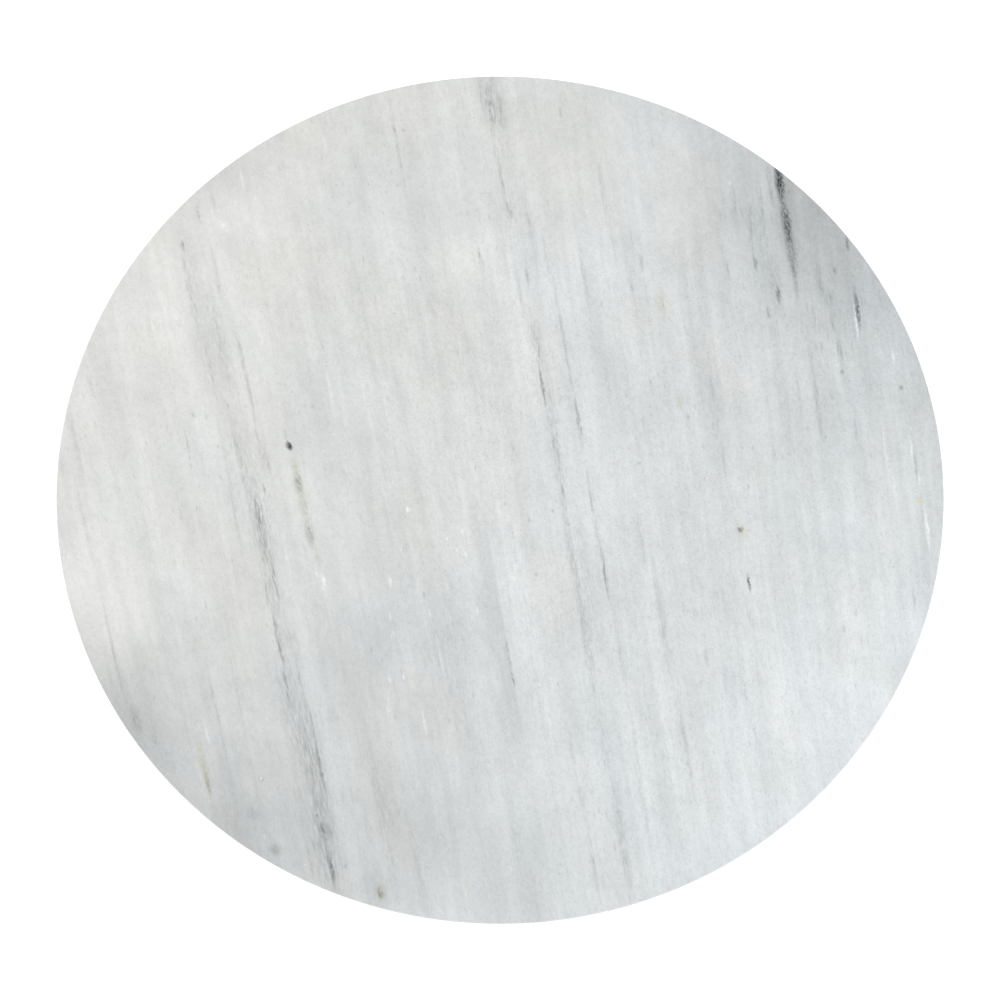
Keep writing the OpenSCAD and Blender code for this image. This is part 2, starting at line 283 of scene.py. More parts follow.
# %% Marble: marks
# Marks that stand out: (x, y, half width, half length in mm, steps, warmth)
MARKS = [
    # the black spot and the olive stain below it
    (-97, 7.3, 1.9, 2.8, -150, 0), (-99, 13, 0.9, 4, -20, 0), (-94, -2, 2.8, 5, -16, 3),
    (-92, -11, 2.6, 7, -42, 4), (-89, -22, 2.6, 9, -17, 2), (-86, -35, 2.6, 8, -32, 2),
    (-89.5, -20, 4.5, 28, -5, 4), (-82, -46, 1.0, 8, -12, 5),
    # dark cores of the vein on the left
    (-109.0, -29, 1.3, 9, -22, 0), (-106, -45, 1.3, 4, -16, 0), (-106, -2.5, 0.9, 4, -20, 0),
    (-107.8, -13, 0.9, 4, -26, 0), (-77.6, -138, 1.0, 14, -42, -1), (-78, -159, 1.1, 1.5, -42, 0),
    (-75.2, -166, 1.1, 5, -40, -1), (-71, -181.5, 1.4, 10, -52, 0), (-65.3, -180, 0.9, 1.3, -24, 0),
    # flecks on the left and at the back left
    (-152.5, 109, 1.2, 4, -34, 0), (-146, 126, 1.1, 7, -24, 3), (-139, 132, 1.3, 8, -13, 3),
    (-142, 22.5, 1.2, 1.5, -26, 0), (-190, 36, 1.2, 6, -14, 6),
    # dark cores of the vein in the middle
    (13, 92, 1.1, 7, -26, 0), (19.6, 36.5, 0.9, 15, -58, 0), (5.5, 126, 1.0, 3, -26, 0),
    (28.5, -14, 0.9, 6, -26, 0), (37, 18, 0.8, 9, -16, 0), (47, -55, 0.8, 9, -20, 0),
    (35, -151, 2.4, 6, -16, 0), (4.5, -94, 1.0, 11, -15, 0),
    # flecks in the middle and at the back
    (-10, 105, 0.8, 5, -32, 0), (-8, 99, 0.8, 4, -16, 0), (-38, 92, 1.2, 1.6, -20, 0),
    (-36, 108, 1.2, 2, -14, 0), (-5, 124, 0.9, 2, -16, 0), (30, 182, 1.1, 4, -22, 0),
    (75, 166, 1.4, 5, -13, 0), (48, 78, 0.9, 2, -14, 0), (68, 100, 1.0, 6, -20, 0),
    (63, 87, 1.0, 6, -18, 0), (77, 79, 3.8, 11, -8, 5),
    # flecks on the right
    (83, 30, 3, 8, -7, 5), (87, 22, 1.2, 2, -24, 0), (70, 38, 0.8, 6, -18, 0),
    (66, 19, 0.9, 4, -13, 0), (99, 36, 1.2, 9, -14, 0), (103, -2, 1.0, 9, -14, 0),
    (109, -32.5, 1.7, 2.0, -75, 4), (109, -33, 4, 6, -12, 8), (111.5, -57, 1.0, 5.5, -96, 0),
    (66, -73, 1.1, 1.4, -16, 0), (87, -71, 1.8, 3, -15, 0), (91, -91, 1.2, 5, -16, 0),
    (158, -71, 1.2, 3, -19, 0), (152, -78, 0.9, 2.5, -20, 0), (184.5, -64, 0.9, 6, -20, 0),
    (175, -47, 1.0, 1.5, -17, 0), (144, -112, 0.8, 3, -15, 0),
    # flecks at the back right
    (108.9, 96, 0.9, 6, -26, 0), (122, 100, 1.2, 6, -46, 0), (132.3, 83, 1.5, 6, -52, 0),
    (127, 74, 1.0, 4, -32, 0), (167, 110, 1.1, 5, -48, 0), (169.3, 76, 1.4, 13, -72, 0),
    (160, 96, 1.1, 3, -30, 0), (160, 44, 1.2, 1.4, -44, 0), (187, 36, 1.5, 1.5, -46, 0),
    (164, 15, 1.0, 8, -18, 0), (142, 16, 1.1, 1.3, -20, 0), (148, 16, 1.1, 5, -12, 0),
    (126, 4, 1.2, 6, -15, 0),
    # the dark vein at the back right
    (136.3, 143, 2.5, 14, -112, 1), (138.4, 121, 2.6, 14, -66, 1), (139.8, 105, 3.0, 16, -34, 1),
    (140.7, 90, 1.5, 14, -22, 1), (141, 140, 3.0, 8, -12, 1), (137.5, 128, 6, 40, -12, -1),
    (131, 90, 3.5, 18, -12, 0),
    # the crack near the right rim, with its white crystals
    (190.5, -2, 0.9, 10, -22, 0), (193.2, -31, 1.1, 13, 26, 5), (191, -19, 2.2, 2.8, -3, 26),
    (189.2, 6, 0.8, 9, 20, 0), (191.6, -9, 0.8, 6, 18, 0), (180, -18, 1.0, 18, 11, 0),
    # white crystals
    (168.2, 68, 0.9, 13, 34, -3), (184.5, 51, 0.9, 5, 20, 0), (177, 5, 1.1, 22, 13, 0),
    (-26, -91, 0.9, 8, 13, 0), (-33, -119, 1.0, 8, 18, 3), (-48, -113, 0.9, 9, 11, 0),
    (-15, -189, 0.9, 6, 8, 8), (-126, 146, 0.9, 8, 16, 2), (-86.5, 166, 0.9, 7, 13, 0),
    (-164, 67, 0.9, 6, 13, 0), (-79, 35, 1.0, 13, 11, 0), (-52, 22, 0.9, 20, 9, 0),
    (-79.5, -58, 1.6, 11, 9, 0), (-112, 150, 3.5, 3, 8, 0), (-134, 120, 4.5, 5, 8, 0),
    # stains at the front left and the front
    (-127.5, -138, 3.0, 15, -9, 8), (-125.5, -145, 1.3, 8, -24, 6), (-127, -124, 0.9, 7, 16, 0),
    (-102.6, -143.5, 1.5, 1.8, -30, 0), (-102.6, -143.2, 0.8, 0.9, 60, 0), (-105, -158, 5, 4, -14, 0),
    (-95, -173, 4, 3.5, -24, 3), (-158, -118, 3, 10, -20, 3), (-50, -190.5, 3.4, 4.5, -18, 12),
    (-50.3, -190.8, 1.4, 2.6, -56, 5),
    # small spots and crystals near the middle
    (-42, -23.2, 1.2, 1.5, 36, 0), (-57.2, -21.5, 1.6, 2.6, 7, 6), (118, -8, 4, 9, 0, 4),
    (58.5, 32, 0.9, 1.2, -22, 0), (59.5, 27, 0.9, 1.0, -20, 0), (63.5, -1, 1.4, 1.0, -26, 0),
    (2.5, -20.5, 0.9, 1.4, -28, 3), (13.5, -28, 0.8, 1.6, -20, 0), (16.5, -53.5, 1.1, 1.2, -28, 0),
    (-3, 9, 0.8, 1.4, -22, 0), (6, 6, 0.8, 1.8, -22, 0), (31, -30, 0.8, 1.2, -20, 0),
    (-17, -33.6, 0.9, 1.6, 20, 0), (-15.4, -44, 0.8, 2.2, 20, 0), (-24, -37, 0.8, 1.8, 12, 0),
    (-49.3, -57, 1.3, 3, 20, 2), (-24, -58, 1.3, 4, 13, 5), (-10, -69.5, 0.8, 2.4, 22, 0),
    (-34, -63, 1.0, 2.4, -24, 0), (-31.5, -71, 0.9, 3, 16, 0), (-48.6, -73, 0.8, 3, 22, 0),
    (-47.3, -80, 0.8, 2.5, 17, 0), (-28, -83, 0.8, 3, 14, 0), (-42.4, -99.6, 0.9, 1.6, 32, 0),
    (-38.2, -102, 1.1, 3, 9, 6), (-48.5, -101, 0.8, 1.8, 22, 0), (-49, -114, 0.8, 3, 16, 0),
    (-79, -56, 1.0, 5, 18, 0), (-82.5, -52, 0.9, 4, 16, 0), (3.2, -86, 0.9, 4, -20, 0),
    (6, -101, 0.9, 4, -26, 0), (24, -24, 0.8, 1.2, -20, 0), (25.7, -103, 0.8, 1.4, -22, 0),
]
print("marks:", len(MARKS))

# %% Marble: hairs, ledges and the base's own
# Where the stone is full of fine dark hairs: (x, y, radius in mm, steps)
HAIRS = [
    (124, 122, 34, 12), (152, 68, 40, 9), (-108, -28, 26, 8), (-5, 188, 26, 6), (-80, -160, 34, 8),
    (20, 70, 60, 2), (100, -60, 70, 3),
]
# Beds that end in a sharp line: (x, y, reach to the left, half length in mm, steps)
LEDGES = [(1.5, -78, 15, 62, -6), (-15, 55, 12, 70, -5), (62, 20, 14, 70, -5)]
# The base is cut from a calmer part of the same block, which begins this many millimetres further on
BASE_SEED = 40.0
BASE_AREAS = [(60, -70, 90, -14), (-80, 40, 80, 6)]
BASE_THREADS = [
    (-70, 10, 2.2, 60, -12), (-48, -20, 1.4, 50, -10), (-12, 5, 3.0, 70, -9), (20, 30, 1.4, 40, -12),
    (47, -10, 2.6, 60, -14), (78, 12, 1.5, 45, -12), (90, -25, 2.5, 40, -12), (99, 10, 1.4, 30, -10),
]
BASE_MARKS = [
    (-100, 12, 1.6, 9, -40, 3), (-58, -86, 1.4, 8, -34, 0), (38, -96, 2.0, 9, -50, 0),
    (96, 38, 1.4, 7, -44, 0), (12, 100, 1.4, 8, -30, 4), (-30, 62, 1.2, 3, -40, 0),
]
print("hairy places:", len(HAIRS), "ledges:", len(LEDGES), "marks on the base:", len(BASE_MARKS))

# %% [markdown]
# ## The marble's coordinates
# Every pattern of the stone is laid on the same few coordinates, so a block works them out once.
# Beds and veins are sheets that go down through the stone and show again on the wall and the
# underside, so `deep`, the height above the honed face, moves them a little to one side. A `seed`
# takes another part of the block.

# %% Marble: the block
# Lean of the beds, how fast they spread, and how far they move aside for each millimetre down
LEAN, SPREAD, DIP = 0.165, 0.0007, 0.45


def bed_at(x, y):
    """Millimetres across the beds at a place on the honed face."""
    return (x + LEAN * y) / (1 + SPREAD * y)


class Block(Recipe):
    """A recipe for stone, with the coordinates that its patterns are laid on, in millimetres."""

    def __init__(self, name, top_level, seed):
        super().__init__(name, Specular_IOR_Level=0.45)
        self.x, self.y, self.z = self.place()[1:]
        self.seed = seed
        self.flat = self.join(self.x, self.y)
        self.deep = self.z - top_level + seed
        self.across = bed_at(self.x, self.y) + DIP * self.deep
        self.sway = self.noise(self.join(self.across / 70, self.y / 160, self.deep / 60),
                               detail=1) - 0.5
        self.bed = self.across + 3 * self.sway
        self.wander = self.sheets(2.5, 5, 4, detail=2, roughness=0.6) - 0.5

    def sheets(self, width, length, depth, kind=0.0, detail=0.0, roughness=0.5):
        """Noise in sheets: narrow across the beds, and long down the beds and into the stone."""
        field = self.join(self.bed / width, self.y / length, self.deep / depth + kind)
        return self.noise(field, detail=detail, roughness=roughness)

    def grain(self, width, length, strength, kind, detail=0.0):
        """Steps of brightness, lighter and darker by turns."""
        return (self.sheets(width, length, length, kind, detail) - 0.5) * strength

    def distance(self, x, y):
        """How far a point is from an upright line through the stone."""
        return self.node("VectorMath", {"operation": "DISTANCE"}, self.flat, (x, y, 0))

    def around(self, x, y, radius, steps):
        """The steps of a place, which fade to nothing at its radius."""
        return self.fade(self.distance(x, y), 0, radius, steps, 0)


print(f"beds lean {degrees(atan2(LEAN, 1)):.1f} degrees")

# %% [markdown]
# ## Tone and grain
# The stone's tone is the sum of noises of many sizes, from beds a hand wide to sugary grains under a
# millimetre, because one noise alone looks like clouds. The broad areas are added to it, and a few
# beds end in a sharp line on their right, where one bed was laid down over another.

# %% Marble: tone and grain
def liveliness(block):
    """Fine patterns are weaker towards the left of the slab and towards its back."""
    from_left = block.fade(block.x + 0.4 * block.y, -120, 20, 0.82, 1.1)
    return from_left * block.fade(block.y, 70, 130, 1, 0.8)


def bedded_tone(block, busy):
    """Streaks along the beds, and blotches that are only a little longer than they are wide."""
    grain = block.grain
    return (grain(36, 240, 10, 1.3) + grain(11, 130, 11, 5.1)
            + busy * (grain(5.2, 80, 11, 9.4) + grain(2.3, 45, 10, 2.2))
            + grain(30, 42, 9, 12.9) + grain(13, 22, 13, 3.7) + grain(4.4, 7, 12, 6.1, detail=1))


def crystals(block, busy):
    """Grains about a millimetre wide. The square makes the dark ones stronger."""
    speck = busy * (block.grain(1.6, 2.3, 15, 7.7, detail=1) + block.grain(0.8, 0.95, 17, 4.8))
    return speck - 0.05 * speck * speck


def ledge(block, x, y, reach, length, steps):
    """A bed that gets darker towards the right, and then ends in a line."""
    past = block.across + 0.8 * block.wander - bed_at(x, y)
    near = block.fade(abs(block.y - y), 0.3 * length, length, steps, 0)
    return near * block.fade(past, -reach, 0) * block.fade(past, 0, 1.2, 1, 0)


# %% [markdown]
# ## Threads and marks
# A vein is not one line but a bundle of threads, with darker marks where the mineral is thick. Each
# could be a curve drawn on the slab, but then it would stop at the edge. So each is a long soft oval
# on the bed coordinates. These are shaken with fine noise first, which makes the outline ragged, and
# the darkness is multiplied by noise, which breaks threads into fibres and marks into crumbs.

# %% Marble: threads and marks
class Veins:
    """Ovals that are drawn on the shaken coordinates of a block."""

    def __init__(self, block):
        self.block = block
        self.crumble = block.sheets(0.9, 2.1, 2, 11, detail=2, roughness=0.65)
        jitter = self.crumble - 0.5
        self.shaken = block.join(block.across + 1.6 * block.sway + 1.1 * block.wander + 1.3 * jitter,
                                 block.y + 3 * jitter)

    def oval(self, x, y, width, length):
        """0 in the middle of a thread or mark, and 1 at its edge."""
        scaled = self.block.node("VectorMath", {"operation": "MULTIPLY_ADD"}, self.shaken,
                                 (1 / width, 1 / length, 0),
                                 (-bed_at(x, y) / width, -y / length, 0))
        return self.block.node("VectorMath", {"operation": "LENGTH"}, scaled)

    def soften(self, away, level):
        return self.block.fade(away, 0.15, 1.1, level, 0)

    def threads(self, rows):
        """Steps of all the threads, broken into fibres."""
        lines = 0.0
        for *place, steps in rows:
            lines = lines + self.soften(self.oval(*place), steps)
        fibre = self.block.sheets(0.8, 6, 3, 19, detail=2, roughness=0.6)
        return lines * self.block.fade(fibre, 0.33, 0.67, 1.75, 0.25)

    def marks(self, rows):
        """Steps of all the marks, broken into crumbs, and the warmth of those that have it."""
        marks, warmth = 0.0, 0.0
        for *place, steps, warm in rows:
            away = self.oval(*place)
            if steps:
                marks = marks + self.soften(away, steps)
            if warm:
                warmth = warmth + self.soften(away, warm)
        return marks * self.block.fade(self.crumble, 0.36, 0.66, 1.2, 0.45), warmth


# %% [markdown]
# ## Hairs, flecks and glints
# The smallest dark hairs, dark flecks and bright crystals are too many to place, so they come from
# noise of which only the highest peaks are kept. One slow noise decides where flecks gather, and
# glints come where flecks are few.

# %% Marble: hairs, flecks and glints
def hair_steps(block, busy, places):
    hairy = 4 * busy
    for place in places:
        hairy = hairy + block.around(*place)
    return hairy * block.fade(block.sheets(0.85, 12, 6, 27, detail=1), 0.56, 0.74)


def fleck_and_glint_steps(block):
    gathering = block.noise(block.join(block.across / 45, block.y / 60, 8.5 + block.seed))
    fleck = block.fade(block.sheets(1.4, 5, 2, 31, detail=1), 0.64, 0.80)
    glint = block.fade(block.sheets(1.2, 3.6, 2, 57, detail=1), 0.66, 0.80)
    return (17 * fleck * block.fade(gathering, 0.40, 0.60),
            15 * glint * block.fade(gathering, 0.62, 0.42))


# %% [markdown]
# ## How the stone was cut
# The upper face is honed. The underside is left as the saw cut it, in wide arcs, and the wall is
# ground but not honed. These marks are in roughness and bump, and each knows its surface by height
# or by distance from the axis.

# %% Marble: saw and grinder
SAW_CENTRE = (-420, 60)


def cut_marks(block, piece_radius, low_level):
    """Where the stone is sawn and where it is ground, and the pattern of both tools."""
    sawn = block.fade(block.z - low_level, 0.02, 0.08, 1, 0)
    ground = block.fade(block.distance(0, 0), piece_radius - 1.0, piece_radius - 0.3)
    from_blade = block.distance(*SAW_CENTRE)
    saw = block.noise(block.join(from_blade * 0.7, 0.0, block.seed), detail=2) - 0.5
    grind = block.noise(block.join(block.x / 9, block.y / 9, block.z * 4), detail=1) - 0.5
    return sawn, ground, saw, grind


# %% [markdown]
# ## The whole stone
# All the steps are added to those of plain stone. The stone is painted a little cooler towards the
# front right, a painted reflection of the blue sky, and it is warmer in patches, so red and blue move
# apart before the screen levels are turned into reflectance, the share of light that comes back.

# %% Marble: the whole recipe
PLAIN_STONE = 223.5
SCREEN_GAMMA = 2.2
REFLECTANCE = 0.80


def stone_colour(block, steps, dark, warmth):
    patches = block.noise(block.join(block.across / 30, block.y / 60, 3.3), detail=1) - 0.5
    # Painted reflection of blue sky light: the colour is cooler towards the right and the front. The
    # patches are the stone's own warmer and cooler tint.
    patchy_tint_and_painted_sky_blue = 0.024 * block.x - 0.013 * block.y + 2.8 - 10 * patches - 0.02 * dark
    screen_levels = (steps - 0.8 - 0.5 * patchy_tint_and_painted_sky_blue + 0.15 * warmth,
                     steps + 1.0,
                     steps - 0.8 + 0.5 * patchy_tint_and_painted_sky_blue - warmth)
    return block.node("CombineColor", None,
                      *((level / 255) ** SCREEN_GAMMA * REFLECTANCE for level in screen_levels))


def marble(name, radius, levels, areas, threads, marked, hairs=(), ledges=(), seed=0.0):
    low_level, top_level = (level / MM for level in levels)
    stone = Block(name, top_level, seed)
    busy = liveliness(stone)
    tone = bedded_tone(stone, busy)
    for row in areas:
        tone = tone + stone.around(*row)
    for row in ledges:
        tone = tone + ledge(stone, *row)
    speck = crystals(stone, busy)
    veins = Veins(stone)
    marks, warmth = veins.marks(marked)
    flecks, glints = fleck_and_glint_steps(stone)
    dark = veins.threads(threads) + marks - hair_steps(stone, busy, hairs) - flecks
    sawn, ground, saw, grind = cut_marks(stone, radius / MM, low_level)

    steps = PLAIN_STONE + tone + speck + dark + glints + 5 * ground - 9 * sawn
    height = speck * 0.05 + sawn * saw * 7 + ground * grind * 1.2
    return stone.finish(Base_Color=stone_colour(stone, steps, dark, warmth),
                        Normal=stone.bump(height, 0.02 * MM),
                        Roughness=0.38 + 0.003 * speck - 0.003 * dark
                        + sawn * (0.24 + 0.2 * saw) + ground * (0.1 + 0.2 * grind))


slab_marble = marble("white_marble", SLAB_R, (SLAB_LOW, SLAB_TOP), AREAS, THREADS, MARKS,
                     HAIRS, LEDGES)
base_marble = marble("white_marble_base", BASE_R, (BASE_LOW, BASE_TOP), BASE_AREAS,
                     BASE_THREADS, BASE_MARKS, seed=BASE_SEED)
print("marble nodes:", len(slab_marble.node_tree.nodes), len(base_marble.node_tree.nodes))

# %% [markdown]
# ## The other finishes
# One flat colour and one roughness would look like plastic on every piece. So each finish starts
# from how the surface was made: turning leaves fine rings round the axis, lapping and tumbling leave
# small scratches, moulding leaves an even grain, and handling leaves smudges. These go mostly into
# roughness and bump, and only a little into colour.

# %% Metals
def ringed(recipe, x, y, z, fine):
    """Fine marks that run round the spin axis, as a lathe tool leaves them: this many a millimetre."""
    radius = (x * x + y * y) ** 0.5
    return recipe.noise(recipe.join(radius * fine, z * fine, 0.0), detail=1) - 0.5


def aluminium_finish():
    """Turned, then clear anodised: a soft grey with fine rings and faint smudges."""
    metal = Recipe("ring_aluminium", Metallic=1.0)
    spot, x, y, z = metal.place()
    marks = ringed(metal, x, y, z, 6)
    waves = ringed(metal, x, y, z, 1.1)
    smudge = metal.noise(spot, scale=0.09, detail=3, roughness=0.6)
    dirt = metal.fade(metal.noise(spot, scale=0.7, detail=3), 0.56, 0.74)
    shade = metal.fade(marks + 0.5 * waves, -0.4, 0.4, 0, 1)
    clean = metal.blend(shade, (0.70, 0.71, 0.73), (0.82, 0.83, 0.85))
    return metal.finish(
        Base_Color=metal.blend(dirt * 0.12, clean, (0.42, 0.41, 0.40)),
        Roughness=0.27 + 0.14 * marks + 0.10 * metal.fade(smudge, 0.4, 0.7) + 0.08 * dirt,
        Normal=metal.bump(marks + 0.4 * waves, 0.012 * MM))


def ball_finish():
    """Ground and lapped almost to a mirror, with hairline scratches and a film of oil."""
    steel = Recipe("bearing_steel", Metallic=1.0)
    spot = steel.place()[0]
    scratches = steel.fade(abs(steel.noise(spot, scale=2.2, detail=2) - 0.5), 0.0, 0.018, 1, 0)
    oil = steel.noise(spot, scale=0.5, detail=2)
    return steel.finish(
        Base_Color=steel.blend(oil, (0.70, 0.71, 0.73), (0.79, 0.79, 0.80)),
        Roughness=0.07 + 0.10 * steel.fade(oil, 0.45, 0.65) + 0.16 * scratches,
        Normal=steel.bump(scratches * -1, 0.002 * MM))


def screw_finish():
    """Cold headed stainless steel: satin, with dull specks and darker places."""
    steel = Recipe("screw_steel", Metallic=1.0)
    spot, x, y, z = steel.place()
    grain = steel.noise(spot, scale=5.5, detail=2) - 0.5
    dull = steel.fade(steel.noise(spot, scale=1.1, detail=3), 0.45, 0.68)
    rub = steel.fade(steel.noise(steel.join(x * 9, y * 1.2, z * 1.2), detail=1), 0.58, 0.7)
    return steel.finish(
        Base_Color=steel.blend(dull, (0.66, 0.66, 0.67), (0.50, 0.49, 0.48)),
        Roughness=0.22 + 0.14 * dull + 0.15 * grain + 0.08 * rub,
        Normal=steel.bump(grain + 0.5 * rub, 0.012 * MM))


def brass_finish():
    """Free cutting brass from a bar, with tool marks and the first brown of tarnish."""
    brass = Recipe("insert_brass", Metallic=1.0)
    spot, x, y, z = brass.place()
    cut = brass.noise(brass.join(x * 0.4, y * 0.4, z * 9), detail=1) - 0.5
    tarnish = brass.fade(brass.noise(spot, scale=0.9, detail=4, roughness=0.6), 0.48, 0.72)
    return brass.finish(
        Base_Color=brass.blend(tarnish * 0.6, (0.80, 0.63, 0.31), (0.45, 0.31, 0.15)),
        Roughness=0.24 + 0.16 * tarnish + 0.12 * cut,
        Normal=brass.bump(cut, 0.015 * MM))


# %% Nylon and rubber
def nylon_finish():
    """Natural nylon: cream, slightly cloudy, satin from the mould."""
    nylon = Recipe("cage_nylon", Specular_IOR_Level=0.45)
    spot = nylon.place()[0]
    cloud = nylon.noise(spot, scale=0.16, detail=3)
    grain = nylon.noise(spot, scale=7, detail=2) - 0.5
    grease = nylon.fade(nylon.noise(spot, scale=0.45, detail=2), 0.5, 0.7)
    milk = nylon.blend(cloud, (0.74, 0.71, 0.62), (0.84, 0.82, 0.75))
    return nylon.finish(
        Base_Color=nylon.blend(grease * 0.35, milk, (0.60, 0.56, 0.44)),
        Roughness=0.52 + 0.10 * grain - 0.22 * grease, Normal=nylon.bump(grain, 0.02 * MM))


def rubber_finish(name, grain_size, relief, tread_level=None):
    """Black rubber with the grain of its mould or rollers, a grey bloom, lint, and dust on a tread."""
    rubber = Recipe(name, Specular_IOR_Level=0.4)
    spot, *_, z = rubber.place()
    grain = rubber.noise(spot, scale=grain_size, detail=2, roughness=0.6) - 0.5
    bloom = rubber.fade(rubber.noise(spot, scale=0.22, detail=3), 0.4, 0.75)
    lint = rubber.fade(rubber.noise(spot, scale=1.9, detail=3), 0.66, 0.74)
    dust = 0.30 * lint + 0.10 * bloom
    if tread_level is not None:
        worn = rubber.fade(z - tread_level / MM, 0.02, 0.35, 1, 0)
        dust = dust + worn * rubber.fade(grain, -0.15, 0.25, 0.06, 0.34)
    black = rubber.blend(bloom, (0.016, 0.016, 0.017), (0.030, 0.030, 0.031))
    return rubber.finish(
        Base_Color=rubber.blend(dust, black, (0.30, 0.29, 0.27)),
        Roughness=0.58 + 0.18 * grain + 0.14 * bloom + 0.10 * lint,
        Normal=rubber.bump(grain, relief * MM))


# %% All the finishes
turned_aluminium = aluminium_finish()
bearing_steel = ball_finish()
screw_steel = screw_finish()
insert_brass = brass_finish()
cage_nylon = nylon_finish()
gasket_rubber = rubber_finish("gasket_rubber", 3.2, 0.05)
foot_rubber = rubber_finish("foot_rubber", 4.5, 0.06, tread_level=0)
print("finishes:", len(bpy.data.materials))

# %% [markdown]
# ## Modelling helpers
# Operators act on whatever is selected, so each step starts with nothing selected. Faces and edges
# could be picked by their numbers, but numbers change with every cut, so they are picked by where
# they are. What every metal and rubber piece needs is here too: cuts with a drill, turned shapes,
# rounded edges and copies.

# %% Helpers: picking
def start_fresh():
    if bpy.context.object and bpy.context.object.mode != "OBJECT":
        bpy.ops.object.mode_set(mode="OBJECT")
    bpy.ops.object.select_all(action="DESELECT")


def take(piece, *others):
    """Selects only these pieces, and makes the first one active."""
    start_fresh()
    for each in (piece, *others):
        each.select_set(True)
    bpy.context.view_layer.objects.active = piece


def pick(piece, kind, test):
    """Selects the faces or edges whose corners all pass the test, and goes into edit mode."""
    take(piece)
    bpy.ops.object.mode_set(mode="EDIT")
    bpy.ops.mesh.select_mode(type=kind)
    bpy.ops.mesh.select_all(action="DESELECT")
    bpy.ops.object.mode_set(mode="OBJECT")
    mesh = piece.data
    parts = mesh.polygons if kind == "FACE" else mesh.edges
    for part in parts:
        part.select = all(test(mesh.vertices[i].co) for i in part.vertices)
    bpy.ops.object.mode_set(mode="EDIT")


def level_with(height):
    return lambda co: abs(co.z - height) < 1e-5


def circle_of(count, radius, start=0.0):
    """Evenly spaced places on a circle."""
    return [(radius * cos(start + i * 2 * pi / count), radius * sin(start + i * 2 * pi / count))
            for i in range(count)]


# %% Helpers: modifiers
PAST = 1 * MM  # how far a cut runs past a surface
BROKEN_EDGE = 0.12 * MM  # what is taken off a sharp edge of metal


def apply(piece, kind, **settings):
    take(piece)
    modifier = piece.modifiers.new(kind.lower(), kind)
    for key, value in settings.items():
        setattr(modifier, key, value)
    bpy.ops.object.modifier_apply(modifier=modifier.name)
    return piece


def ease(piece, width, segments=2, angle=28):
    """Rounds every edge sharper than the angle, because no real edge is perfectly sharp."""
    return apply(piece, "BEVEL", width=width, segments=segments, limit_method="ANGLE",
                 angle_limit=radians(angle), use_clamp_overlap=True)


def joined(pieces):
    """Makes one piece of many."""
    take(*pieces)
    if len(pieces) > 1:
        bpy.ops.object.join()
    return bpy.context.object


def carve(piece, cutters, operation="DIFFERENCE"):
    """Cuts the joined cutters out of the piece, or keeps or adds what the operation says."""
    cutter = joined(cutters)
    apply(piece, "BOOLEAN", operation=operation, object=cutter, solver="EXACT")
    bpy.data.objects.remove(cutter)
    return piece


# %% Helpers: rods and drills
def rod(radius, start, end, corners=48, end_radius=None):
    """A straight rod or cone from one point to another, used as a blank or as a drill."""
    start_fresh()
    start, end = Vector(start), Vector(end)
    way = end - start
    turn = way.to_track_quat("Z", "X").to_euler()
    if end_radius is None:
        end_radius = radius
    bpy.ops.mesh.primitive_cone_add(vertices=corners, radius1=radius, radius2=end_radius,
                                    depth=way.length, location=(start + end) / 2, rotation=turn)
    made = bpy.context.object
    bpy.ops.object.transform_apply(location=True, rotation=True)
    return made


def drill(piece, places, radius, low, high, corners=48, end_radius=None):
    """Cuts the same upright hole at each place."""
    return carve(piece, [rod(radius, (x, y, low), (x, y, high), corners, end_radius)
                         for x, y in places])


# %% Helpers: turned shapes and copies
def outline(section):
    """Draws points of (radius, height) as a line, by extruding from the first one to the next."""
    start_fresh()
    bpy.ops.mesh.primitive_plane_add(size=MM)
    line = bpy.context.object
    bpy.ops.object.mode_set(mode="EDIT")
    bpy.ops.mesh.select_mode(type="VERT")
    bpy.ops.mesh.merge(type="CENTER")
    here = (0.0, 0.0)
    for number, (radius, height) in enumerate(section):
        step = (radius - here[0], 0, height - here[1])
        if number:
            bpy.ops.mesh.extrude_region_move(TRANSFORM_OT_translate={"value": step})
        else:
            bpy.ops.transform.translate(value=step)
        here = (radius, height)
    return line


def turned(section, steps):
    """Spins a section round the upright axis, as on a lathe. A section that starts off the axis is
    closed to make a ring, and one that starts on the axis has both its ends there."""
    if section[0][0] > 0:
        section = section + section[:1]
    made = outline(section)
    bpy.ops.mesh.select_all(action="SELECT")
    bpy.ops.mesh.remove_doubles(threshold=1e-7)
    bpy.ops.mesh.spin(steps=steps, angle=2 * pi, center=(0, 0, 0), axis=(0, 0, 1))
    bpy.ops.mesh.select_all(action="SELECT")
    bpy.ops.mesh.remove_doubles(threshold=1e-6)
    bpy.ops.mesh.delete_loose()
    bpy.ops.mesh.select_all(action="SELECT")
    bpy.ops.mesh.normals_make_consistent(inside=False)
    bpy.ops.object.mode_set(mode="OBJECT")
    return made


def arc(middle, radius, start, end, segments):
    """Points on an arc of a section, from one angle to another in degrees."""
    angles = [radians(start + (end - start) * i / segments) for i in range(segments + 1)]
    return [(middle[0] + radius * cos(a), middle[1] + radius * sin(a)) for a in angles]


def copies(model, places, turns=None):
    """Copies a finished model to each place, turned as asked, and gives the list of copies."""
    made = []
    for number, place in enumerate(places):
        take(model)
        bpy.ops.object.duplicate()
        copy = bpy.context.object
        copy.location = place
        copy.rotation_euler = (0, 0, turns[number] if turns else 0)
        bpy.ops.object.transform_apply(location=True, rotation=True)
        made.append(copy)
    bpy.data.objects.remove(model)
    return made


# %% Helpers: joining the model
def settle(piece, name, material, body, slot, *nodes, smooth=32):
    """Names a piece, puts its place into its mesh, and joins it to the model."""
    take(piece)
    bpy.ops.object.transform_apply(location=True, rotation=True, scale=True)
    bpy.ops.object.shade_smooth_by_angle(angle=radians(smooth))
    piece.name = piece.data.name = name
    piece.data.materials.clear()
    piece.data.materials.append(material)
    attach(piece, body)
    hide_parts(*nodes)
    print(f"{name}: {len(piece.data.polygons)} faces")
    return piece


